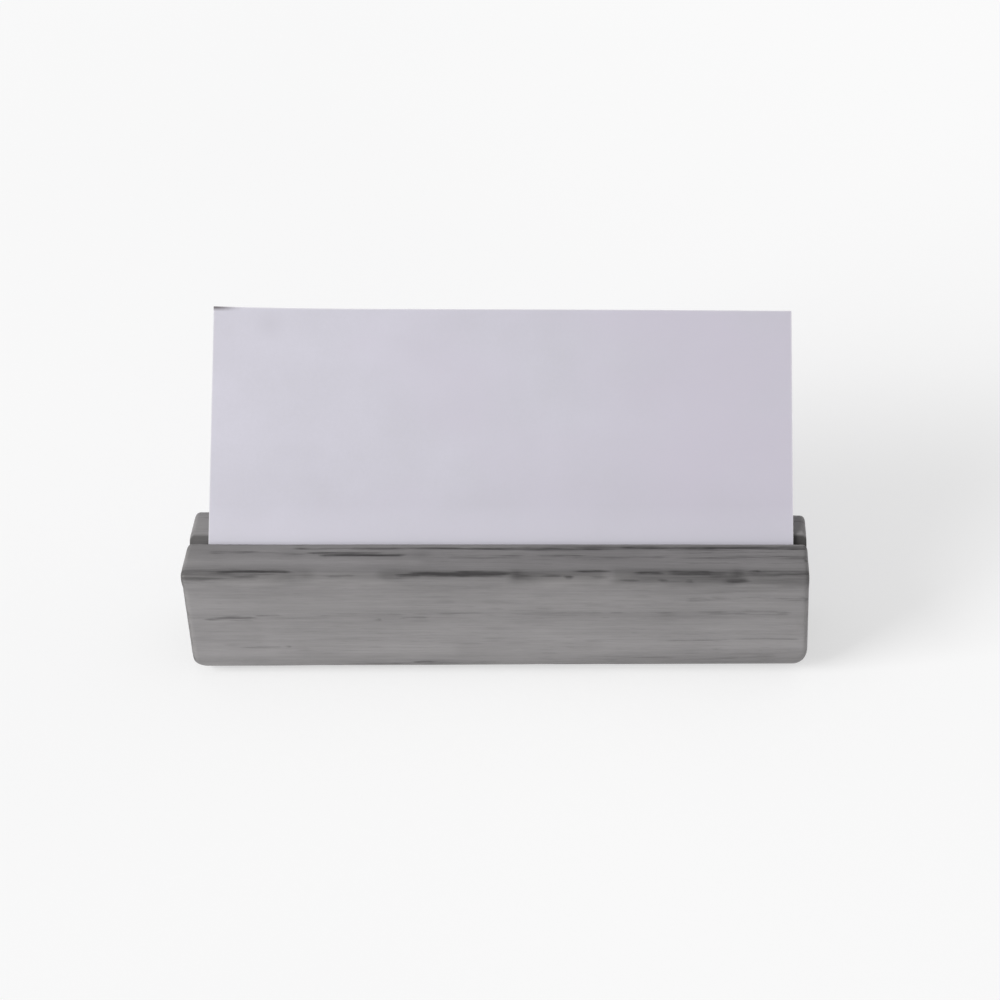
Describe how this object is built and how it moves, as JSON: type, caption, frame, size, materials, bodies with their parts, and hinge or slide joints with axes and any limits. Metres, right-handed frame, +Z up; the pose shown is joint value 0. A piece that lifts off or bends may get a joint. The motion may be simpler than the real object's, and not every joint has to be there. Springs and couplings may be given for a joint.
{
  "type": "menu holder",
  "caption": "Square grey-stained wooden bar with eased edges and a slanted saw kerf along its top, in which a blank card stands and leans back, on low rubber bumper feet.",
  "frame": {"origin": "on the table plane under the feet, below the middle of the whole object with its leaning card", "axes": "+Z up, +X along the bar, the front of the bar faces -Y and the card leans back towards +Y"},
  "size_m": [0.152, 0.0574, 0.0706],
  "materials": {
    "grey_wood": "open-grained wood, grey stained, satin",
    "card_stock": "uncoated white card stock",
    "bumper_rubber": "matte moulded rubber"
  },
  "bodies": {
    "holder": {"wood_block": "grey_wood", "foot_front_left": "bumper_rubber", "foot_front_right": "bumper_rubber", "foot_rear_left": "bumper_rubber", "foot_rear_right": "bumper_rubber"},
    "card": {"menu_card": "card_stock"}
  },
  "joints": [
    {"name": "card_lift", "type": "slide", "parent": "holder", "child": "card", "axis": [0, 0.7088, 0.7054], "range_m": [0, 0.025]}
  ]
}
